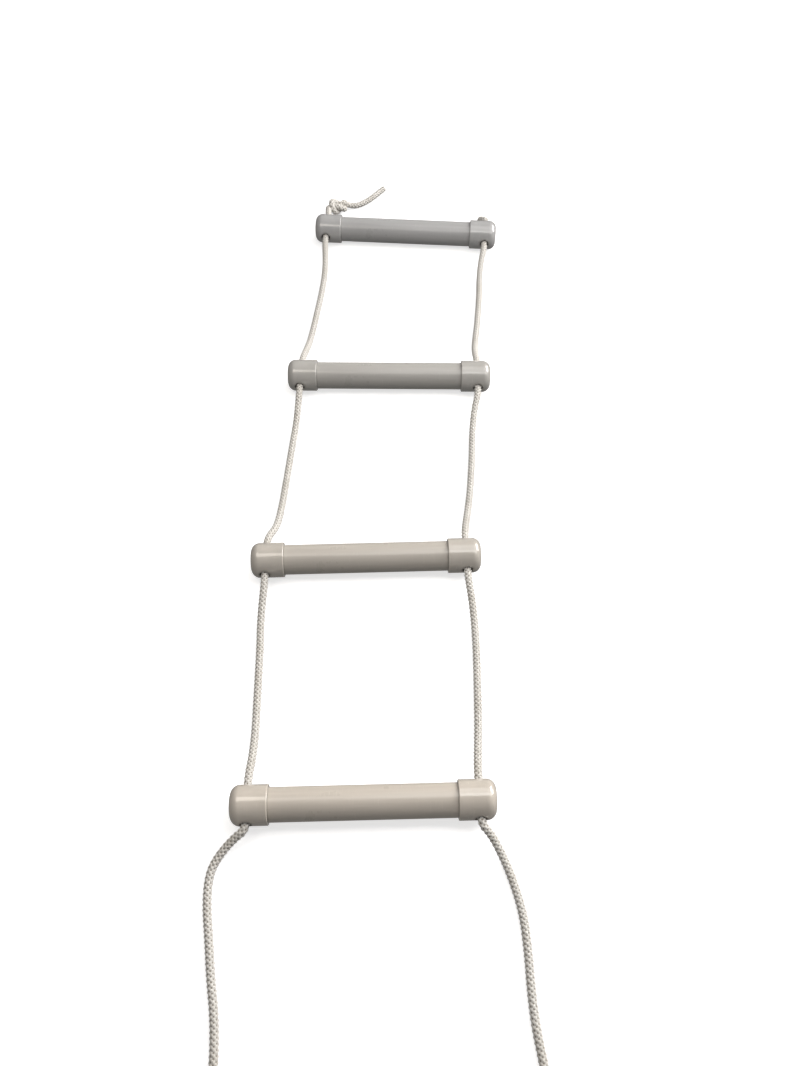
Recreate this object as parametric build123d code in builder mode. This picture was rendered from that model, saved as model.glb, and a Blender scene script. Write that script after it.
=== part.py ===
"""A light rope ladder with four plastic rungs, lying flat on a surface, in millimetres.

The rungs run along X and the ladder's length along +Y, with +Z up from the surface. Rung 1 is the
one at the tie ropes, rung 4 the far one. Two ropes, left and right, pass through the rungs' end caps.
"""

import os
from math import cos, pi, radians, sin, tan

from build123d import *

# Rungs
rung_length = 230.0  # over both caps
tube_diameter = 30.0
tube_wall = 2.0
tube_chamfer = 0.5
cap_diameter = 35.0
cap_length = 33.0
cap_end_wall = 3.0
cap_end_round = 8.5
cap_mouth_round = 0.8
cavity_diameter = 28.0  # room for the knot, past the shoulder that stops the tube
cavity_round = 4.0
same_radius = 0.01  # two radii this close are the same one
socket_depth = 11.0  # how far the tube goes into the cap
socket_clearance = 0.05
hole_diameter = 11.0
hole_from_end = 14.0  # centre of the cap's cross hole, from the cap's closed end

# Ropes
rope_diameter = 8.0
knot_diameter = 18.4
coil_start_radius = 52.0  # of the rope's middle, where the coil starts
coil_turns = 2.95  # a flat spiral, each turn one rope diameter inside the turn before
coil_edge_round = 3.9  # just under the rope's radius, which leaves a narrow flat band
hinge_gap = 10.0  # where the far half of a span starts, past the middle of its bend
arc_share = 0.45  # how much of a route's shorter run an arc at a corner takes up
neck_overlap = 2.0  # how far the rope out of rung 4 runs into its knot
tail_overlap = 1.5  # the same for the knot's tail

# Where each rung lies: centre x, centre y and its turn about Z in degrees
rung_places = [
    (7.5, -377.5, 4.5),
    (-8.0, -127.0, 4.7),
    (0.5, 120.5, 2.5),
    (7.0, 370.5, -0.6),
]

# Where each span bends: the ladder's y there, at the height of a rope on the surface
bend_y = [-252.5, -3.5, 245.5]

# The ropes between two rungs: the points on the way, with the bend in the middle run
span_points = {
    (1, "left"): [
        (-95, -341.5, 12.5),
        (-96.3, -318, 5),
        (-98.9, -287, 4),
        (-103.8, -226, 4),
        (-106.8, -199, 5),
        (-106.9, -178, 12),
    ],
    (1, "right"): [
        (106.2, -326, 12),
        (107, -303, 4.8),
        (106.4, -273, 4),
        (104.7, -219, 4),
        (102.4, -188, 5),
        (98.6, -163, 12),
    ],
    (2, "left"): [
        (-103.5, -91, 12),
        (-102.6, -66, 4.8),
        (-101.8, -34, 4),
        (-100.8, 22, 4),
        (-99.8, 50, 4.8),
        (-99.2, 71.5, 12),
    ],
    (2, "right"): [
        (91.8, -75, 12),
        (94.3, -51, 4.8),
        (96.3, -22, 4),
        (97.5, 25, 4),
        (97.2, 54, 4.8),
        (98.6, 79, 12),
    ],
    (3, "left"): [
        (-99.3, 159.5, 12),
        (-97.2, 184, 4.8),
        (-94.8, 216, 4),
        (-91.3, 272, 4),
        (-90.8, 298.5, 4.8),
        (-91.8, 323, 12),
    ],
    (3, "right"): [
        (98.2, 168.5, 12),
        (98.8, 192, 4.8),
        (101.2, 222, 4),
        (103.3, 272, 4),
        (102.9, 299, 4.8),
        (103.9, 322, 12),
    ],
}

# The tie ropes from rung 1 to their coils: the last point is where the coil's outer turn starts
tie_points = {
    "left": [
        (-102, -416.5, 12.5),
        (-112, -425, 6.5),
        (-119, -440.5, 4),
        (-117.3, -466, 4),
        (-111, -493, 4),
        (-105.2, -521, 4),
        (-97.8, -549, 4),
        (-93.3, -578, 4),
        (-91.8, -605, 4),
        (-91.2, -631, 4),
        (-91, -655.5, 4),
    ],
    "right": [
        (120.5, -401, 11.5),
        (128, -412, 5.5),
        (137, -432, 4),
        (145.5, -459, 4),
        (149.2, -489, 4),
        (151, -519, 4),
        (154.3, -546, 4),
        (160, -572, 4),
        (162.6, -597, 4),
        (163.4, -621, 4),
        (163.5, -643.5, 4),
    ],
}

# The left rope's end beyond rung 4: a knot behind the cap and a tail on the surface
left_knot_centre = (-85.5, 424, 9.9)
tail_points = [(-72, 431.5, 4.5), (-58.5, 437, 4), (-46.5, 447, 4), (-37.5, 459, 4), (-27.5, 473, 4)]

# The right rope's end beyond rung 4: a trimmed knot that hangs against the cap
right_knot_reach = 27.5
right_knot_z = 12.0

rope_radius = rope_diameter / 2
knot_radius = knot_diameter / 2
rung_z = cap_diameter / 2
half_rung = rung_length / 2
cavity_radius = cavity_diameter / 2
hole_x = half_rung - hole_from_end
exit_reach = 26.0  # where a rope that comes straight out of a hole first turns, from the rung's axis
sides = {"left": -1, "right": 1}


def rung_plane(number, side=1):
    """The rung's own frame: X along the rung towards one side, Z up, at the rung's middle."""
    x, y, turn = rung_places[number - 1]
    along = (side * cos(radians(turn)), side * sin(radians(turn)), 0)
    return Plane(origin=(x, y, rung_z), x_dir=along, z_dir=(0, 0, 1))


def rope_point(number, side_name, reach, drop=0.0):
    """A point on the line of a cap's cross hole, so far from the rung's axis towards +Y."""
    side = sides[side_name]
    plane = rung_plane(number, side)
    return plane.from_local_coords((hole_x, side * reach, -drop))


def write(part, name):
    """Labels one finished piece and writes its STEP file."""
    part.label = name
    export_step(part, f"parts/{name}.step")


def arc_radii(points):
    """The radius at each corner of a route: as large as its two runs allow."""
    radii = []
    for before, corner, after in zip(points, points[1:], points[2:]):
        run_in = corner - before
        run_out = after - corner
        half_turn = radians(run_in.get_angle(run_out)) / 2
        radii.append(arc_share * min(run_in.length, run_out.length) / tan(half_turn))
    return radii


def rope_tube(name, points, ball_at=None):
    """A plain round tube along a rope's route, with a ball at the middle of a bend."""
    points = [Vector(*point) for point in points]
    radii = arc_radii(points)
    with BuildPart() as tube:
        with BuildLine():
            route = FilletPolyline(*points, radius=radii)
        with BuildSketch(Plane(origin=route @ 0, z_dir=route % 0)):
            Circle(rope_radius)
        sweep(path=route)
        if ball_at is not None:
            with Locations(ball_at):
                Sphere(rope_radius)
    length = route.length
    swept = pi * rope_radius**2 * length
    if ball_at is not None:
        swept += 2 / 3 * pi * rope_radius**3
    print(name, "length", round(length, 1), "volume share", round(tube.part.volume / swept, 4))
    print("   radii", [round(radius, 1) for radius in radii])
    write(tube.part, name)


def make_grip_tube(number):
    """The hollow tube that the hand or foot rests on, held in the caps' sockets."""
    plane = rung_plane(number)
    half_tube = half_rung - cap_length + socket_depth
    start = plane.from_local_coords((-half_tube, 0, 0))
    with BuildPart() as tube:
        with BuildSketch(Plane(origin=start, z_dir=plane.x_dir)):
            Circle(tube_diameter / 2)
            Circle(tube_diameter / 2 - tube_wall, mode=Mode.SUBTRACT)
        extrude(amount=2 * half_tube)
        rims = tube.edges().filter_by(GeomType.CIRCLE).group_by(SortBy.RADIUS)[-1]
        chamfer(rims, tube_chamfer)
    write(tube.part, f"rung_{number}_grip_tube")


def make_end_cap(number, side_name):
    """A closed cap with a socket for the tube, a cavity for the knot and a cross hole for the rope."""
    plane = rung_plane(number, sides[side_name])
    outer = cap_diameter / 2
    socket = tube_diameter / 2 + socket_clearance
    mouth_x = half_rung - cap_length
    shoulder_x = mouth_x + socket_depth
    with BuildPart() as cap:
        with BuildSketch(plane):
            with BuildLine():
                Polyline(
                    (mouth_x, socket),
                    (mouth_x, outer),
                    (half_rung, outer),
                    (half_rung, 0),
                    (half_rung - cap_end_wall, 0),
                    (half_rung - cap_end_wall, cavity_radius),
                    (shoulder_x, cavity_radius),
                    (shoulder_x, socket),
                    close=True,
                )
            make_face()
        along = Axis(plane.origin, plane.x_dir)
        revolve(axis=along)
        inside = cap.edges().filter_by(GeomType.CIRCLE)
        inside = inside.filter_by(lambda edge: abs(edge.radius - cavity_radius) < same_radius)
        fillet(inside.sort_by(along)[-1], cavity_round)
        rims = cap.edges().filter_by(GeomType.CIRCLE).group_by(SortBy.RADIUS)[-1]
        rims = rims.sort_by(along)
        fillet(rims[-1], cap_end_round)
        fillet(rims[0], cap_mouth_round)
        hole_centre = plane.from_local_coords((hole_x, 0, 0))
        with BuildSketch(Plane(origin=hole_centre, z_dir=plane.y_dir)):
            Circle(hole_diameter / 2)
        extrude(amount=cap_diameter, both=True, mode=Mode.SUBTRACT)
    write(cap.part, f"rung_{number}_cap_{side_name}")


def make_cap_rope(number, side_name, knotted):
    """The rope's stretch across a cap's cavity, with the knot that holds the rung in its place."""
    start = rope_point(number, side_name, -cavity_radius)
    middle = rope_point(number, side_name, 0)
    with BuildPart() as rope:
        with BuildSketch(Plane(origin=start, z_dir=middle - start)):
            Circle(rope_radius)
        extrude(amount=2 * cavity_radius)
        if knotted:
            with Locations(middle):
                Sphere(knot_radius)
    kind = "knot" if knotted else "rope"
    write(rope.part, f"rung_{number}_{kind}_{side_name}")


def make_span(number, side_name):
    """The rope between two rungs, as a half on each, which meet at the middle of the bend."""
    inner = [Vector(*point) for point in span_points[number, side_name]]
    half = len(inner) // 2
    before, after = inner[half - 1], inner[half]
    share = (bend_y[number - 1] - before.Y) / (after.Y - before.Y)
    bend = before + (after - before) * share
    past_bend = bend + (after - before).normalized() * hinge_gap
    near = [rope_point(number, side_name, reach) for reach in (cavity_radius, exit_reach)]
    far = [rope_point(number + 1, side_name, -reach) for reach in (exit_reach, cavity_radius)]
    rope_tube(f"span_{number}_{side_name}_near_half", near + inner[:half] + [bend], ball_at=bend)
    rope_tube(f"span_{number}_{side_name}_far_half", [past_bend] + inner[half:] + far)


def make_tie_rope(side_name):
    """A free rope from rung 1 along the surface, as far as its coil."""
    near = [rope_point(1, side_name, -reach) for reach in (cavity_radius, exit_reach)]
    rope_tube(f"tie_rope_{side_name}", near + tie_points[side_name])


def make_coil(side_name):
    """The outer shape of the rest of a tie rope, wound into a flat spiral on the surface."""
    x, y, _ = tie_points[side_name][-1]
    centre = (x - sides[side_name] * coil_start_radius, y, 0)
    end_radius = coil_start_radius - coil_turns * rope_diameter
    with BuildPart() as coil:
        with BuildSketch(Plane(origin=centre)):
            Circle(coil_start_radius + rope_radius)
            Circle(end_radius - rope_radius, mode=Mode.SUBTRACT)
        extrude(amount=rope_diameter)
        fillet(coil.edges().filter_by(GeomType.CIRCLE), coil_edge_round)
    write(coil.part, f"tie_rope_{side_name}_coil")


def make_left_end_knot():
    """The left rope out of rung 4's cap and the stopper knot behind it."""
    points = [rope_point(4, "left", reach) for reach in (cavity_radius, exit_reach)]
    centre = Vector(*left_knot_centre)
    points.append(centre + (points[-1] - centre).normalized() * (knot_radius - neck_overlap))
    with BuildPart() as knot:
        with BuildLine():
            route = FilletPolyline(*points, radius=arc_radii(points))
        with BuildSketch(Plane(origin=route @ 0, z_dir=route % 0)):
            Circle(rope_radius)
        sweep(path=route)
        with Locations(centre):
            Sphere(knot_radius)
    write(knot.part, "rope_end_knot_left")


def make_left_tail():
    """The left rope's tail, from inside the knot's surface to its cut end on the surface."""
    first = Vector(*tail_points[0])
    centre = Vector(*left_knot_centre)
    start = centre + (first - centre).normalized() * (knot_radius - tail_overlap)
    rope_tube("rope_end_tail_left", [start] + tail_points)


def make_right_end_knot():
    """The right rope's trimmed stopper knot, which rests against rung 4's cap."""
    start = rope_point(4, "right", cavity_radius)
    end = rope_point(4, "right", cavity_radius + rope_diameter)
    with BuildPart() as knot:
        with BuildSketch(Plane(origin=start, z_dir=end - start)):
            Circle(rope_radius)
        extrude(amount=rope_diameter)
        with Locations(rope_point(4, "right", right_knot_reach, rung_z - right_knot_z)):
            Sphere(knot_radius)
    write(knot.part, "rope_end_knot_right")


os.makedirs("parts", exist_ok=True)

for number in range(1, 5):
    make_grip_tube(number)
    for side_name in sides:
        make_end_cap(number, side_name)
        make_cap_rope(number, side_name, knotted=number < 4)

for number, side_name in span_points:
    make_span(number, side_name)

for side_name in sides:
    make_tie_rope(side_name)
    make_coil(side_name)

make_left_end_knot()
make_left_tail()
make_right_end_knot()
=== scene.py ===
"""The looks of a light rope ladder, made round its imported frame.

The frame's tubes and caps stay and get plastic materials. Its ropes, which are plain tubes and balls
there, are remade as plaited rope along smooth routes, with tied knots. Lengths are in metres, in the
frame's axes: +X along the rungs, +Y along the ladder away from the tie ropes, +Z up from the floor.
"""

from math import cos, pi, radians, sin

import bpy
import numpy as np
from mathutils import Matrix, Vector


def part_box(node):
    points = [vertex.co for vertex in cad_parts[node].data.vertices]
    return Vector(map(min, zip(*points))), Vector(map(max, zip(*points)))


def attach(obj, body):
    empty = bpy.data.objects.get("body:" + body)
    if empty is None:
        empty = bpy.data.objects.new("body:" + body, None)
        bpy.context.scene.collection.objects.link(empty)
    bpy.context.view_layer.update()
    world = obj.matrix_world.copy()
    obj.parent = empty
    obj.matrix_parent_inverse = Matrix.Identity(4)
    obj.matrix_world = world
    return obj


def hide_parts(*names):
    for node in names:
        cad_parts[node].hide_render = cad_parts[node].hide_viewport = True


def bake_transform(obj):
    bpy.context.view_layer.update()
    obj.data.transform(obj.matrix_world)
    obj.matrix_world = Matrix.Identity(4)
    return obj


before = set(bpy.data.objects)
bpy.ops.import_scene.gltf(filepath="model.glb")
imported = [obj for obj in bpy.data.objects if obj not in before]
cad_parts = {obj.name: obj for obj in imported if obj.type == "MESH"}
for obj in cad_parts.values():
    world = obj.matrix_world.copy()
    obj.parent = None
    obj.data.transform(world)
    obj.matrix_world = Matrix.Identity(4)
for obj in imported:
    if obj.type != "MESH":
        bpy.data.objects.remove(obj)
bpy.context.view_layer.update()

# Rungs, caps and ropes, as the frame has them
RUNG_TURNS = {1: 4.5, 2: 4.7, 3: 2.5, 4: -0.6}  # degrees about Z
HALF_RUNG = 0.115
CAP_LENGTH = 0.033
CAVITY_RADIUS = 0.014
HOLE_RADIUS = 0.0055
HOLE_FROM_MIDDLE = 0.101
EXIT_REACH = 0.026
TIE_EXIT_REACH = 0.0215
ROPE_DIAMETER = 0.008
ROPE_RADIUS = ROPE_DIAMETER / 2
SIDES = {"left": -1, "right": 1}

# The ropes between two rungs: the points on the way, after one exit and before the next
SPAN_POINTS = {
    (1, "left"): [
        (-0.095, -0.3415, 0.0125),
        (-0.0963, -0.318, 0.005),
        (-0.0989, -0.287, 0.004),
        (-0.1038, -0.226, 0.004),
        (-0.1068, -0.199, 0.005),
        (-0.1069, -0.178, 0.012),
    ],
    (1, "right"): [
        (0.1062, -0.326, 0.012),
        (0.107, -0.303, 0.0048),
        (0.1064, -0.273, 0.004),
        (0.1047, -0.219, 0.004),
        (0.1024, -0.188, 0.005),
        (0.0986, -0.163, 0.012),
    ],
    (2, "left"): [
        (-0.1035, -0.091, 0.012),
        (-0.1026, -0.066, 0.0048),
        (-0.1018, -0.034, 0.004),
        (-0.1008, 0.022, 0.004),
        (-0.0998, 0.05, 0.0048),
        (-0.0992, 0.0715, 0.012),
    ],
    (2, "right"): [
        (0.0918, -0.075, 0.012),
        (0.0943, -0.051, 0.0048),
        (0.0963, -0.022, 0.004),
        (0.0975, 0.025, 0.004),
        (0.0972, 0.054, 0.0048),
        (0.0986, 0.079, 0.012),
    ],
    (3, "left"): [
        (-0.0993, 0.1595, 0.012),
        (-0.0972, 0.184, 0.0048),
        (-0.0948, 0.216, 0.004),
        (-0.0913, 0.272, 0.004),
        (-0.0908, 0.2985, 0.0048),
        (-0.0918, 0.323, 0.012),
    ],
    (3, "right"): [
        (0.0982, 0.1685, 0.012),
        (0.0988, 0.192, 0.0048),
        (0.1012, 0.222, 0.004),
        (0.1033, 0.272, 0.004),
        (0.1029, 0.299, 0.0048),
        (0.1039, 0.322, 0.012),
    ],
}

# The tie ropes from rung 1 to where their coils start
TIE_POINTS = {
    "left": [
        (-0.1005, -0.4125, 0.0125),
        (-0.112, -0.425, 0.0065),
        (-0.119, -0.4405, 0.004),
        (-0.1173, -0.466, 0.004),
        (-0.111, -0.493, 0.004),
        (-0.1052, -0.521, 0.004),
        (-0.0978, -0.549, 0.004),
        (-0.0933, -0.578, 0.004),
        (-0.0918, -0.605, 0.004),
        (-0.0912, -0.631, 0.004),
        (-0.091, -0.6555, 0.004),
    ],
    "right": [
        (0.1185, -0.3975, 0.0115),
        (0.128, -0.412, 0.0055),
        (0.137, -0.432, 0.004),
        (0.1455, -0.459, 0.004),
        (0.1492, -0.489, 0.004),
        (0.151, -0.519, 0.004),
        (0.1543, -0.546, 0.004),
        (0.16, -0.572, 0.004),
        (0.1626, -0.597, 0.004),
        (0.1634, -0.621, 0.004),
        (0.1635, -0.6435, 0.004),
    ],
}
COIL_START_RADIUS = 0.052
COIL_TURNS = 2.95  # each turn one rope diameter inside the turn before
COIL_POINTS = 24  # for each turn

# The ends of the ropes beyond rung 4
LEFT_KNOT_START = (-0.0965, 0.4165, 0.0145)
LEFT_KNOT_END = (-0.0755, 0.4325, 0.0085)
TAIL_POINTS = [
    (-0.067, 0.4345, 0.0045),
    (-0.0585, 0.437, 0.004),
    (-0.0465, 0.447, 0.004),
    (-0.0375, 0.459, 0.004),
    (-0.0275, 0.473, 0.004),
]
RIGHT_KNOT_REACH = (0.019, 0.037)
RIGHT_KNOT_DROP = (0.0015, 0.0085)

# The plait: as many strands each way round, on a grid of points that runs along both
STRANDS = 4
STRAND_POINTS = 5
AROUND = STRANDS * STRAND_POINTS
PLAIT_LAY = 0.0169  # the length in which a strand goes once round
ROW = PLAIT_LAY / (2 * AROUND)
STRAND_WAVE = 0.0007  # how far a strand rises and sinks as it passes over and under
STRAND_CROWN = 0.0014  # how much lower a strand's edges are than its middle
TANGENT_ROWS = 4
LINE_STEPS = 32  # points for each stretch of a route's curve
YARNS = 4  # in each strand
FILAMENTS = 14

# Painted light and shade: each rung's plastic is tinted for how it is lit, warmest and brightest on rung
# 1 and darker further away, as a share of the tubes' and caps' tone
RUNG_LIGHT_TINTS = {
    1: (1.06, 0.965, 0.85),
    2: (0.92, 0.855, 0.77),
    3: (0.80, 0.775, 0.735),
    4: (0.77, 0.765, 0.765),
}
TUBE_TONE = 0.52
TUBE_ROUGHNESS = (0.27, 0.35)
TUBE_GRAIN = 0.00005  # the height of the surface's unevenness
CAP_TONE = 0.55
CAP_ROUGHNESS = (0.13, 0.2)
CAP_GRAIN = 0.00003
# PALE_SHARE also sets how pale the painted highlight at each cap's mouth is
PALE_SHARE = 1.2  # how much paler a scuffed or worn place is than the plastic

# The overhand knot, in rope diameters
KNOT_POINTS = 97
KNOT_LENGTH = 15.0
KNOT_HALF_SPAN = 3.0
KNOT_SPACING = 0.92  # how near two stretches of rope come when they press on each other
KNOT_ROUNDS = 1500
KNOT_EASE = 1.6  # stretches nearer than this along the rope don't push each other
KNOT_STIFFNESS = 0.12
KNOT_PUSH = 0.12
KNOT_DRAWN = 0.7  # the share of the rounds in which the ends are drawn out
KNOT_RESTORES = 4  # how often each round restores the rope's length
KNOT_TRIM = 0.1  # how far from a route's two ends the knot's own points stop
LEFT_KNOT_TURN = 20.0  # degrees about the line between the knot's ends
RIGHT_KNOT_TURN = 60.0
CAP_KNOT_TURN = 90.0


def point_on_rung(number, along, across, up=0.0):
    """A point given from a rung's middle: along the rung to the right, across it towards +Y, and up."""
    low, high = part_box(f"rung_{number}_grip_tube")
    turn = radians(RUNG_TURNS[number])
    along_axis = np.array((cos(turn), sin(turn), 0.0))
    across_axis = np.array((-sin(turn), cos(turn), 0.0))
    middle = (np.array(low) + np.array(high)) / 2
    return middle + along * along_axis + across * across_axis + np.array((0.0, 0.0, up))


def rope_point(number, side, reach, drop=0.0):
    """A point on the line of a cap's cross hole, so far from the rung's axis towards +Y."""
    return point_on_rung(number, SIDES[side] * HOLE_FROM_MIDDLE, reach, -drop)


# ---------------------------------------------------------------- lines


def smooth_line(route):
    """Points close together along the NURBS curve that has a route's points as its control points."""
    curve = bpy.data.curves.new("route", "CURVE")
    curve.dimensions = "3D"
    curve.resolution_u = LINE_STEPS
    spline = curve.splines.new("NURBS")
    spline.points.add(len(route) - 1)
    for control, point in zip(spline.points, route):
        control.co = (*point, 1.0)
    spline.order_u = 3
    spline.use_endpoint_u = True
    holder = bpy.data.objects.new("route", curve)
    mesh = bpy.data.meshes.new_from_object(holder)
    line = np.array([vertex.co for vertex in mesh.vertices])
    bpy.data.objects.remove(holder)
    bpy.data.curves.remove(curve)
    bpy.data.meshes.remove(mesh)
    return line


def distances_along(line):
    """How far along a line each of its points is."""
    steps = np.linalg.norm(np.diff(line, axis=0), axis=1)
    return np.concatenate([[0.0], np.cumsum(steps)])


def resampled(line, count):
    """A line's shape as so many points at even distances along it."""
    along = distances_along(line)
    places = np.linspace(0.0, along[-1], count)
    return np.column_stack([np.interp(places, along, line[:, axis]) for axis in range(3)])


def directions_along(points):
    """The line's direction at each point, averaged over a few points each way."""
    index = np.arange(len(points))
    after = np.minimum(index + TANGENT_ROWS, len(points) - 1)
    before = np.maximum(index - TANGENT_ROWS, 0)
    spans = points[after] - points[before]
    return spans / np.linalg.norm(spans, axis=1)[:, None]


def carried_axes(directions):
    """Two axes across a line at each point, carried along it without twist."""
    side = np.cross(directions[0], (0.0, 0.0, 1.0))
    sides = []
    for direction in directions:
        side = side - direction * (side @ direction)
        side /= np.linalg.norm(side)
        sides.append(side)
    return np.array(sides), np.cross(directions, sides)


# ---------------------------------------------------------------- plaited rope


def plait_height(place, row):
    """How far the plait stands above its mean surface: the higher of the two strands at a grid point."""
    first = place // STRAND_POINTS
    second = (place + row) // STRAND_POINTS
    middle = (STRAND_POINTS - 1) / 2
    first_offset = (place % STRAND_POINTS - middle) / STRAND_POINTS
    second_offset = ((place + row) % STRAND_POINTS - middle) / STRAND_POINTS
    phase = pi * (first + second)
    first_height = STRAND_WAVE * np.cos(phase + pi * second_offset)
    first_height -= STRAND_CROWN * (1 - np.sqrt(1 - (2 * first_offset) ** 2))
    second_height = -STRAND_WAVE * np.cos(phase + pi * first_offset)
    second_height -= STRAND_CROWN * (1 - np.sqrt(1 - (2 * second_offset) ** 2))
    return np.maximum(first_height, second_height)


def diamond_faces(rows):
    """The plait's faces as corners (place round, row): diamonds, and triangles that even out its ends."""
    place, row = np.meshgrid(np.arange(AROUND), np.arange(1, rows))
    place, row = place.ravel(), row.ravel()
    diamonds = np.stack(
        [
            np.column_stack([place, place + 1, place + 1, place]),
            np.column_stack([row, row - 1, row, row + 1]),
        ],
        axis=-1,
    )
    place = np.arange(AROUND)
    same = np.zeros_like(place)
    first = np.stack(
        [
            np.column_stack([place, place + 1, place]),
            np.column_stack([same, same, same + 1]),
        ],
        axis=-1,
    )
    last = np.stack(
        [
            np.column_stack([place, place + 1, place + 1]),
            np.column_stack([same + rows, same + rows - 1, same + rows]),
        ],
        axis=-1,
    )
    return diamonds, np.concatenate([first, last])


def end_rings(cut):
    """The rings that close a rope's end, as (share of its radius, distance out): flat or a cut tip."""
    if cut:
        return [(0.97, 0.0003), (0.86, 0.0007), (0.6, 0.0009), (0.3, 0.0008)]
    return [(0.8, 0.0), (0.4, 0.0)]


def close_end(points, faces, middle, direction, ring, cut, forward):
    """Closes one end of a rope with rings that get smaller, and a fan of triangles round its middle."""
    points = list(points)
    rim = [points[index] for index in ring]
    for share, out in end_rings(cut):
        start = len(points)
        points += [middle + (point - middle) * share + direction * out for point in rim]
        inner = list(range(start, start + len(rim)))
        for here, after in zip(range(len(ring)), [*range(1, len(ring)), 0]):
            face = [ring[here], ring[after], inner[after], inner[here]]
            faces.append(face if forward else face[::-1])
        ring = inner
    hub = len(points)
    points.append(middle + direction * end_rings(cut)[-1][1])
    for here, after in zip(range(len(ring)), [*range(1, len(ring)), 0]):
        face = [ring[here], ring[after], hub]
        faces.append(face if forward else face[::-1])
    return points


def plaited_rope(name, line, cut_start=False, cut_end=False):
    """A closed mesh of plaited rope along a line, and the middles of its rows."""
    rows = round(distances_along(line)[-1] / ROW)
    middles = resampled(line, rows + 1)
    directions = directions_along(middles)
    sides, ups = carried_axes(directions)
    place, row = np.meshgrid(np.arange(AROUND), np.arange(rows + 1))
    angle = pi * (2 * place + row + 1) / AROUND
    height = plait_height(place, row)
    radius = (ROPE_RADIUS - STRAND_WAVE + height)[..., None]
    around = np.cos(angle)[..., None] * sides[:, None] + np.sin(angle)[..., None] * ups[:, None]
    points = (middles[:, None] + radius * around).reshape(-1, 3)

    diamonds, triangles = diamond_faces(rows)
    corners = [*diamonds.reshape(-1, 2), *triangles.reshape(-1, 2)]
    faces = []
    for group in (diamonds, triangles):
        faces += (group[..., 1] * AROUND + group[..., 0] % AROUND).tolist()
    ring = list(range(AROUND))
    points = close_end(points, faces, middles[0], -directions[0], ring, cut_start, forward=False)
    ring = [rows * AROUND + place for place in range(AROUND)]
    points = close_end(points, faces, middles[-1], directions[-1], ring, cut_end, forward=True)

    mesh = bpy.data.meshes.new(name)
    mesh.from_pydata([tuple(point) for point in points], [], faces)
    mesh.polygons.foreach_set("use_smooth", [True] * len(mesh.polygons))
    corners = np.array(corners)
    strands = np.column_stack([corners[:, 0], corners[:, 0] + corners[:, 1]]) + 0.5
    layout = np.zeros((len(mesh.loops), 2))
    layout[: len(strands)] = strands / STRAND_POINTS
    mesh.uv_layers.new(name="strands").data.foreach_set("uv", layout.ravel())
    low, high = height.min(), height.max()
    relief = np.full(len(points), 0.5)
    relief[: height.size] = (height.ravel() - low) / (high - low)
    mesh.attributes.new("relief", "FLOAT", "POINT").data.foreach_set("value", relief)
    rope = bpy.data.objects.new(name, mesh)
    bpy.context.scene.collection.objects.link(rope)
    rope.data.materials.append(rope_material)
    return rope, middles


# ---------------------------------------------------------------- knots


def loose_knot():
    """A trefoil curve whose two ends run out on either side, as long as the knot's rope."""
    turn = np.linspace(-2.25, 2.25, KNOT_POINTS)
    line = np.column_stack([turn**3 - 3 * turn, turn**4 - 4 * turn**2, 0.2 * (turn**5 - 10 * turn)])
    line = resampled(line, KNOT_POINTS)
    return line * KNOT_LENGTH / distances_along(line)[-1]


def restore_steps(line, step):
    """Moves neighbouring points of a rope until they are one step apart, first every other pair."""
    for first in (0, 1):
        before = np.arange(first, KNOT_POINTS - 1, 2)
        gap = line[before + 1] - line[before]
        long = np.linalg.norm(gap, axis=1)[:, None]
        move = 0.5 * (1 - step / long) * gap
        line[before] += move
        line[before + 1] -= move


def push_apart(line, can_touch):
    """Moves apart the stretches of a rope that are nearer to each other than it lets them be."""
    gap = line[:, None] - line[None]
    far = np.linalg.norm(gap, axis=2) + 1e-9
    push = np.where(can_touch & (far < KNOT_SPACING), KNOT_SPACING / far - 1, 0.0)
    line += KNOT_PUSH * np.einsum("ij,ijk->ik", push, gap)


def tight_knot():
    """The middle line of an overhand knot drawn tight, centred on the X axis, in rope diameters.

    Each round draws the rope's two ends further apart on the axis, eases its bends, restores its
    length and pushes apart the stretches that press on each other.
    """
    line = loose_knot()
    step = KNOT_LENGTH / (KNOT_POINTS - 1)
    index = np.arange(KNOT_POINTS)
    can_touch = np.abs(index[:, None] - index[None]) * step > KNOT_EASE * KNOT_SPACING
    starts = line[[0, -1]].copy()
    goals = np.zeros((2, 3))
    goals[:, 0] = np.sign(starts[:, 0]) * KNOT_HALF_SPAN
    for number in range(KNOT_ROUNDS):
        share = min(1.0, number / (KNOT_DRAWN * KNOT_ROUNDS))
        ends = starts + (goals - starts) * share
        line[1:-1] += KNOT_STIFFNESS * ((line[:-2] + line[2:]) / 2 - line[1:-1])
        for _ in range(KNOT_RESTORES):
            restore_steps(line, step)
            line[[0, -1]] = ends
        push_apart(line, can_touch)
        line[[0, -1]] = ends
    return line if line[-1, 0] > 0 else line[::-1]


def knot_route(start, end, turn):
    """Control points of a tight overhand knot between two points, turned by so much about their line."""
    start, end = np.array(start), np.array(end)
    axis = (end - start) / np.linalg.norm(end - start)
    level = np.cross((0.0, 0.0, 1.0), axis)
    level /= np.linalg.norm(level)
    up = np.cross(axis, level)
    across = cos(radians(turn)) * level + sin(radians(turn)) * up
    other = np.cross(axis, across)
    half = np.linalg.norm(end - start) / 2 / ROPE_DIAMETER
    inside = np.flatnonzero(np.abs(KNOT_LINE[:, 0]) < half - KNOT_TRIM)
    core = KNOT_LINE[inside[0] : inside[-1] + 1]
    turned = core @ np.array((axis, across, other))
    return [start, *((start + end) / 2 + turned * ROPE_DIAMETER), end]


# ---------------------------------------------------------------- materials


def start_material(name):
    """A new material with its node tree and its shader."""
    material = bpy.data.materials.new(name)
    material.use_nodes = True
    tree = material.node_tree
    return material, tree, tree.nodes["Principled BSDF"]


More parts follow.
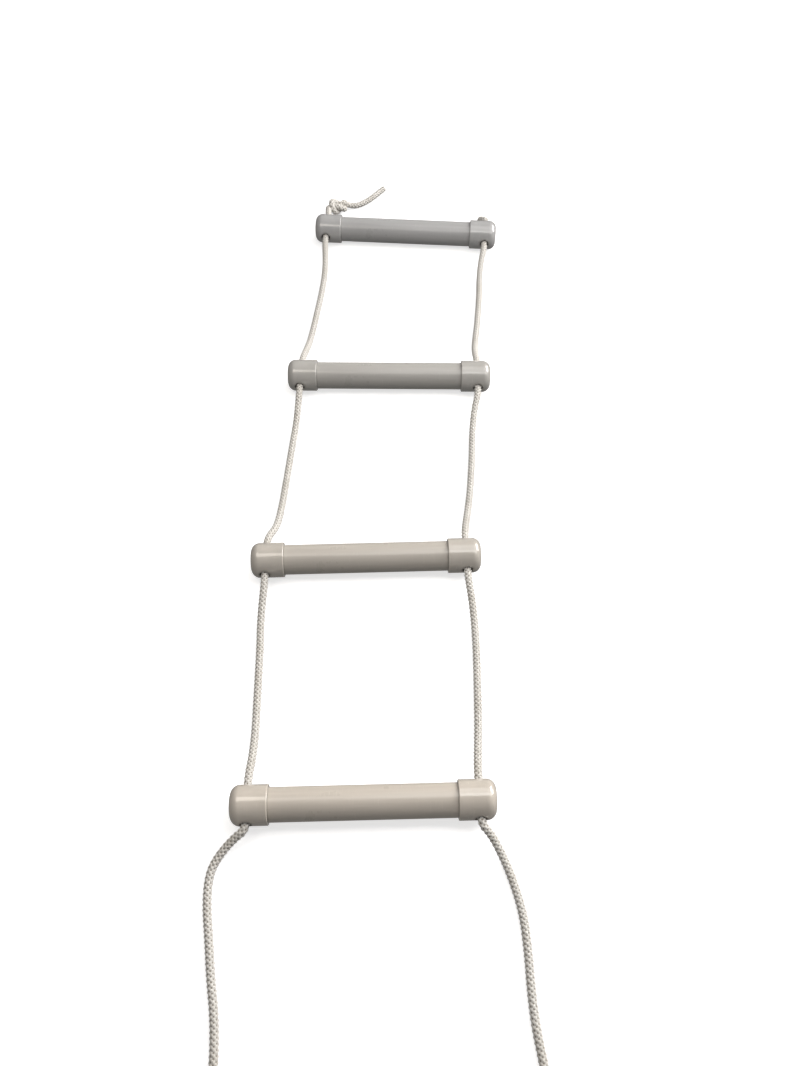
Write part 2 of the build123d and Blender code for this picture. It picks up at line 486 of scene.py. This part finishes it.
def add_node(tree, kind, inputs, **settings):
    """A shader node with its settings. An input is a value, or the socket that it is joined to."""
    node = tree.nodes.new("ShaderNode" + kind)
    for key, value in settings.items():
        setattr(node, key, value)
    for key, value in inputs.items():
        if isinstance(value, bpy.types.NodeSocket):
            tree.links.new(value, node.inputs[key])
        else:
            node.inputs[key].default_value = value
    return node


def maths(tree, operation, *values):
    """The result of one sum on numbers or sockets."""
    return add_node(tree, "Math", dict(enumerate(values)), operation=operation).outputs[0]


def remap(tree, value, low, high, to_low=0.0, to_high=1.0):
    """A value carried smoothly from one range to another, and held there outside it."""
    inputs = {"Value": value, "From Min": low, "From Max": high, "To Min": to_low, "To Max": to_high}
    return add_node(tree, "MapRange", inputs, interpolation_type="SMOOTHSTEP").outputs[0]


def mix_colours(tree, share, first, second):
    """Two colours, or sockets that give one, mixed by a share."""
    node = tree.nodes.new("ShaderNodeMix")
    node.data_type = "RGBA"
    factor, one, other = node.inputs[0], node.inputs[6], node.inputs[7]
    for socket, value in ((factor, share), (one, first), (other, second)):
        if isinstance(value, bpy.types.NodeSocket):
            tree.links.new(value, socket)
        else:
            socket.default_value = value
    return node.outputs[2]


def noise(tree, place, scale, detail=2.0, rough=0.5):
    """Noise at a place, from 0 to 1."""
    inputs = {"Vector": place, "Scale": scale, "Detail": detail, "Roughness": rough}
    return add_node(tree, "TexNoise", inputs).outputs[0]


def bump(tree, height, distance, strength=1.0, below=None):
    """A surface direction raised by a height, on top of another one where that is given."""
    inputs = {"Height": height, "Distance": distance, "Strength": strength}
    if below is not None:
        inputs["Normal"] = below
    return add_node(tree, "Bump", inputs).outputs[0]


def make_rope_material():
    """White synthetic plait: yarns and fine filaments along each strand, with painted shade low between
    the strands and in the grooves between yarns.
    """
    material, tree, shader = start_material("plaited_rope")
    strands = add_node(tree, "UVMap", {}, uv_map="strands").outputs[0]
    axes = add_node(tree, "SeparateXYZ", {"Vector": strands}).outputs
    cells = maths(tree, "ADD", maths(tree, "FLOOR", axes[0]), maths(tree, "FLOOR", axes[1]))
    second_on_top = maths(tree, "PINGPONG", cells, 1.0)
    kept = maths(tree, "MULTIPLY", axes[0], maths(tree, "SUBTRACT", 1.0, second_on_top))
    across = maths(tree, "ADD", kept, maths(tree, "MULTIPLY", axes[1], second_on_top))
    yarns = maths(tree, "SINE", maths(tree, "MULTIPLY", across, 2 * pi * YARNS))
    filaments = maths(tree, "SINE", maths(tree, "MULTIPLY", across, 2 * pi * FILAMENTS))
    place = add_node(tree, "TexCoord", {}).outputs["Object"]
    fuzz = noise(tree, place, 2600.0, 3.0)
    relief = add_node(tree, "Attribute", {}, attribute_name="relief").outputs["Fac"]
    # Painted shade: the plait's colour goes dark where it lies low between the strands
    unshaded_crest = remap(tree, relief, 0.0, 0.4)
    # Painted shade in the grooves between yarns; the fuzz added to it is random tone
    yarn_groove_shade = remap(tree, yarns, -1.0, -0.2, 0.3, 0.0)
    soiling = remap(tree, noise(tree, place, 38.0, 4.0, 0.6), 0.42, 0.72)
    clean = mix_colours(tree, soiling, (0.79, 0.77, 0.735, 1), (0.68, 0.65, 0.60, 1))
    groove_shade_and_fuzz = maths(tree, "ADD", yarn_groove_shade, maths(tree, "MULTIPLY", fuzz, 0.2))
    thread = mix_colours(tree, groove_shade_and_fuzz, clean, (0.42, 0.40, 0.36, 1))
    tree.links.new(mix_colours(tree, unshaded_crest, (0.27, 0.24, 0.20, 1), thread), shader.inputs["Base Color"])
    tree.links.new(remap(tree, fuzz, 0.2, 0.8, 0.5, 0.75), shader.inputs["Roughness"])
    raised = bump(tree, yarns, 0.00012, 0.7)
    raised = bump(tree, filaments, 0.00003, 0.5, raised)
    tree.links.new(bump(tree, fuzz, 0.0001, 0.5, raised), shader.inputs["Normal"])
    shader.inputs["Sheen Weight"].default_value = 0.2
    shader.inputs["Sheen Roughness"].default_value = 0.4
    shader.inputs["Specular IOR Level"].default_value = 0.4
    return material


def rung_place(tree, number):
    """The texture place in a rung's own axes: X along it from its middle, Z up."""
    place = add_node(tree, "TexCoord", {}).outputs["Object"]
    inputs = {
        "Vector": place,
        "Location": tuple(point_on_rung(number, 0, 0)),
        "Rotation": (0.0, 0.0, radians(RUNG_TURNS[number])),
    }
    return add_node(tree, "Mapping", inputs, vector_type="TEXTURE").outputs[0]


def moulded_surface(tree, shader, place, roughness, grain):
    """The gloss and the slight unevenness of a plastic surface, with fine scuffs round it."""
    stretched = add_node(tree, "Mapping", {"Vector": place, "Scale": (9.0, 1.0, 1.0)}).outputs[0]
    scuffs = remap(tree, noise(tree, stretched, 70.0, 6.0, 0.65), 0.56, 0.7)
    patches = noise(tree, place, 30.0, 3.0)
    low, high = roughness
    base = remap(tree, patches, 0.3, 0.7, low, high)
    worn = maths(tree, "ADD", base, maths(tree, "MULTIPLY", scuffs, 0.12))
    tree.links.new(worn, shader.inputs["Roughness"])
    waves = bump(tree, noise(tree, place, 190.0, 2.0), grain, 0.5)
    fine = bump(tree, noise(tree, place, 1900.0, 2.0), grain / 3, 0.4, waves)
    tree.links.new(bump(tree, scuffs, -0.00001, 0.5, fine), shader.inputs["Normal"])
    return scuffs


def rung_lit_tone(number, tone):
    """A grey tone in a rung's painted light tint."""
    return (*(tone * share for share in RUNG_LIGHT_TINTS[number]), 1)


def make_tube_material(number):
    """Semi-gloss grey tube: faint streaks along it from its making, and painted shade where the caps
    start.
    """
    material, tree, shader = start_material(f"grip_tube_{number}")
    place = rung_place(tree, number)
    scuffs = moulded_surface(tree, shader, place, TUBE_ROUGHNESS, TUBE_GRAIN)
    streaks = add_node(tree, "Mapping", {"Vector": place, "Scale": (0.05, 1.0, 1.0)}).outputs[0]
    tone = remap(tree, noise(tree, streaks, 260.0, 3.0), 0.3, 0.7)
    colour = mix_colours(tree, tone, rung_lit_tone(number, TUBE_TONE * 0.96), rung_lit_tone(number, TUBE_TONE * 1.03))
    pale = rung_lit_tone(number, TUBE_TONE * PALE_SHARE)
    colour = mix_colours(tree, maths(tree, "MULTIPLY", scuffs, 0.3), colour, pale)
    from_middle = maths(tree, "ABSOLUTE", add_node(tree, "SeparateXYZ", {"Vector": place}).outputs[0])
    mouth = HALF_RUNG - CAP_LENGTH
    # Painted shade: the tube goes dark just before each cap's mouth, where the cap's step shades it
    cap_mouth_shade = remap(tree, from_middle, mouth - 0.0018, mouth + 0.0002, 0.0, 0.5)
    tree.links.new(mix_colours(tree, cap_mouth_shade, colour, (0.2, 0.19, 0.175, 1)), shader.inputs["Base Color"])
    shader.inputs["Coat Weight"].default_value = 0.4
    shader.inputs["Coat Roughness"].default_value = 0.16
    return material


def make_cap_material(number):
    """Glossy off-white caps in the rung's painted light tint, with painted shade in and round the rope's
    hole and a painted highlight at the mouth.
    """
    material, tree, shader = start_material(f"end_cap_{number}")
    place = rung_place(tree, number)
    scuffs = moulded_surface(tree, shader, place, CAP_ROUGHNESS, CAP_GRAIN)
    tone = remap(tree, noise(tree, place, 55.0, 4.0, 0.6), 0.35, 0.7)
    colour = mix_colours(tree, tone, rung_lit_tone(number, CAP_TONE * 0.96), rung_lit_tone(number, CAP_TONE * 1.03))
    pale = rung_lit_tone(number, CAP_TONE * PALE_SHARE)
    colour = mix_colours(tree, maths(tree, "MULTIPLY", scuffs, 0.3), colour, pale)
    axes = add_node(tree, "SeparateXYZ", {"Vector": place}).outputs
    from_middle = maths(tree, "ABSOLUTE", axes[0])
    mouth = HALF_RUNG - CAP_LENGTH
    # Painted highlight: a pale band round each cap's mouth rim
    mouth_highlight = remap(tree, from_middle, mouth + 0.0004, mouth + 0.0014, 0.5, 0.0)
    colour = mix_colours(tree, mouth_highlight, colour, pale)
    beside = maths(tree, "SUBTRACT", from_middle, HOLE_FROM_MIDDLE)
    squares = maths(tree, "ADD", maths(tree, "POWER", beside, 2.0), maths(tree, "POWER", axes[2], 2.0))
    from_hole = maths(tree, "SQRT", squares)
    # Painted shade: darker inside the rope's hole and in a ring round it
    hole_ring_shade = remap(tree, from_hole, HOLE_RADIUS, HOLE_RADIUS + 0.0028, 0.28, 0.0)
    hole_bore_shade = remap(tree, from_hole, HOLE_RADIUS - 0.0002, HOLE_RADIUS + 0.0003, 0.55, 0.0)
    hole_shade = maths(tree, "MAXIMUM", hole_ring_shade, hole_bore_shade)
    tree.links.new(mix_colours(tree, hole_shade, colour, (0.2, 0.185, 0.165, 1)), shader.inputs["Base Color"])
    shader.inputs["Coat Weight"].default_value = 1.0
    shader.inputs["Coat Roughness"].default_value = 0.09
    return material


def paint_rungs():
    """Gives the frame's tubes and caps their plastics, each rung's in its painted light tint."""
    for number in RUNG_TURNS:
        tube, cap = make_tube_material(number), make_cap_material(number)
        painted = {f"rung_{number}_grip_tube": tube}
        painted.update({f"rung_{number}_cap_{side}": cap for side in SIDES})
        for node, material in painted.items():
            for material_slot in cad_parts[node].material_slots:
                material_slot.material = material


# ---------------------------------------------------------------- the ropes


def make_span(number, side):
    """One rope between two rungs."""
    route = [rope_point(number, side, reach) for reach in (CAVITY_RADIUS, EXIT_REACH)]
    route += SPAN_POINTS[number, side]
    route += [rope_point(number + 1, side, -reach) for reach in (EXIT_REACH, CAVITY_RADIUS)]
    rope, line = plaited_rope(f"span_{number}_{side}_rope", smooth_line(route))
    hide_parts(f"span_{number}_{side}_near_half", f"span_{number}_{side}_far_half")
    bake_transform(rope)


def coil_route(side):
    """The turns of a tie rope's coil after its first point: a flat spiral, wound inwards."""
    x, y, z = TIE_POINTS[side][-1]
    centre_x = x - SIDES[side] * COIL_START_RADIUS
    points = []
    for number in range(1, round(COIL_TURNS * COIL_POINTS) + 1):
        turns = number / COIL_POINTS
        radius = COIL_START_RADIUS - turns * ROPE_DIAMETER
        angle = 2 * pi * turns
        points.append((centre_x + SIDES[side] * radius * cos(angle), y - radius * sin(angle), z))
    return points


def make_tie_rope(side):
    """A free rope out of rung 1 along the floor, with the length beyond the picture coiled."""
    route = [rope_point(1, side, -reach) for reach in (CAVITY_RADIUS, TIE_EXIT_REACH)]
    route += TIE_POINTS[side]
    route += coil_route(side)
    rope, line = plaited_rope(f"tie_rope_{side}_plait", smooth_line(route), cut_end=True)
    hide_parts(f"tie_rope_{side}", f"tie_rope_{side}_coil")
    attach(rope, "rung_1")


def make_cap_rope(number, side):
    """The rope inside a cap, with the stopper knot that holds the rung in its place, on rungs 1 to 3."""
    start = rope_point(number, side, -CAVITY_RADIUS)
    end = rope_point(number, side, CAVITY_RADIUS)
    if number < 4:
        kind, route = "knot", knot_route(start, end, CAP_KNOT_TURN * SIDES[side])
    else:
        kind, route = "rope", [start, (start + end) / 2, end]
    rope, _ = plaited_rope(f"rung_{number}_{kind}_{side}_plait", smooth_line(route))
    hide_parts(f"rung_{number}_{kind}_{side}")
    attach(rope, f"rung_{number}")


def make_left_end():
    """The left rope's knot behind rung 4 and its tail on the floor."""
    route = [rope_point(4, "left", CAVITY_RADIUS), rope_point(4, "left", TIE_EXIT_REACH)]
    route += knot_route(LEFT_KNOT_START, LEFT_KNOT_END, LEFT_KNOT_TURN)
    knot, _ = plaited_rope("rope_end_knot_left_plait", smooth_line(route))
    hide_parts("rope_end_knot_left")
    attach(knot, "rung_4")
    tail_route = [LEFT_KNOT_END, *TAIL_POINTS]
    tail, line = plaited_rope("rope_end_tail_left_plait", smooth_line(tail_route), cut_end=True)
    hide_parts("rope_end_tail_left")
    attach(tail, "rung_4")


def make_right_end():
    """The right rope's trimmed knot, which rests against rung 4's cap."""
    knot_ends = [rope_point(4, "right", *place) for place in zip(RIGHT_KNOT_REACH, RIGHT_KNOT_DROP)]
    route = [rope_point(4, "right", CAVITY_RADIUS), *knot_route(*knot_ends, RIGHT_KNOT_TURN)]
    knot, _ = plaited_rope("rope_end_knot_right_plait", smooth_line(route), cut_end=True)
    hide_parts("rope_end_knot_right")
    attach(knot, "rung_4")


# ---------------------------------------------------------------- the studio


def make_floor():
    """A pale floor that curves up far away, so that a low view has a pale background too."""
    flat, rise, steps, sectors = 3.5, 3.0, 16, 96
    profile = [(0.4, 0.0), (flat, 0.0)]
    for number in range(1, steps + 1):
        angle = pi / 2 * number / steps
        profile.append((flat + rise * sin(angle), rise * (1 - cos(angle))))
    points = [(0.0, 0.0, 0.0)]
    for radius, height in profile:
        for sector in range(sectors):
            angle = 2 * pi * sector / sectors
            points.append((radius * cos(angle), radius * sin(angle), height))
    faces = []
    for sector in range(sectors):
        after = (sector + 1) % sectors
        faces.append((0, 1 + sector, 1 + after))
        for ring in range(len(profile) - 1):
            inner, outer = 1 + ring * sectors, 1 + (ring + 1) * sectors
            faces.append((inner + sector, outer + sector, outer + after, inner + after))
    mesh = bpy.data.meshes.new("floor")
    mesh.from_pydata(points, [], faces)
    mesh.polygons.foreach_set("use_smooth", [True] * len(mesh.polygons))
    floor = bpy.data.objects.new("floor", mesh)
    bpy.context.scene.collection.objects.link(floor)
    material, _, shader = start_material("floor")
    shader.inputs["Base Color"].default_value = (0.85, 0.85, 0.85, 1)
    shader.inputs["Roughness"].default_value = 0.9
    shader.inputs["Specular IOR Level"].default_value = 0.0
    shader.inputs["Emission Color"].default_value = (1, 1, 1, 1)
    shader.inputs["Emission Strength"].default_value = 0.62
    mesh.materials.append(material)
    floor.visible_diffuse = False
    floor.visible_glossy = False


def make_area_light(name, place, aim, size, power, colour):
    """A soft rectangular light at a place, turned towards another one."""
    light = bpy.data.lights.new(name, "AREA")
    light.shape = "RECTANGLE"
    light.size, light.size_y = size
    light.energy = power
    light.color = colour
    lamp = bpy.data.objects.new(name, light)
    bpy.context.scene.collection.objects.link(lamp)
    lamp.location = place
    direction = Vector(aim) - Vector(place)
    lamp.rotation_euler = direction.to_track_quat("-Z", "Y").to_euler()
    lamp.visible_camera = False


def make_sky():
    """Faint even light from all round, slightly warmer and brighter from below."""
    world = bpy.data.worlds.new("studio")
    world.use_nodes = True
    tree = world.node_tree
    direction = add_node(tree, "TexCoord", {}).outputs["Generated"]
    height = add_node(tree, "SeparateXYZ", {"Vector": direction}).outputs[2]
    above = remap(tree, height, -0.25, 0.35)
    colour = mix_colours(tree, above, (0.23, 0.225, 0.215, 1), (0.20, 0.20, 0.205, 1))
    tree.links.new(colour, tree.nodes["Background"].inputs["Color"])
    bpy.context.scene.world = world


def make_lights():
    """Soft lights: a large one and a strip above the ladder's right, one far right and one left."""
    warm = (1.0, 0.98, 0.95)
    make_area_light("key", (0.78, 0.235, 1.1), (0.78, 0.235, 0.0), (1.65, 1.13), 10.5, warm)
    make_area_light("strip", (0.78, -0.19, 1.09), (0.78, -0.19, 0.0), (1.65, 0.28), 2.8, warm)
    make_area_light("side", (2.6, 1.7, 1.45), (0.0, -0.1, 0.0), (2.4, 1.4), 118.0, warm)
    make_area_light("left", (-0.4, -0.1, 1.0), (-0.1, -0.35, 0.0), (0.5, 0.5), 2.6, (1.0, 0.93, 0.84))
    make_sky()
    bpy.context.scene.view_settings.view_transform = "Standard"


def make_camera():
    """A camera held over the near end, looking down along the ladder."""
    camera = bpy.data.objects.new("camera", bpy.data.cameras.new("camera"))
    bpy.context.scene.collection.objects.link(camera)
    camera.location = (0.0542, -0.6653, 0.8658)
    camera.rotation_euler = (radians(33.94), 0.0, radians(3.0))
    camera.data.lens = 33.77
    camera.data.sensor_width = 36.0
    camera.data.clip_start = 0.01
    bpy.context.scene.camera = camera


KNOT_LINE = tight_knot()
rope_material = make_rope_material()

paint_rungs()
for number, side in SPAN_POINTS:
    make_span(number, side)
for side in SIDES:
    make_tie_rope(side)
    for number in RUNG_TURNS:
        make_cap_rope(number, side)
make_left_end()
make_right_end()
make_floor()
make_lights()
make_camera()
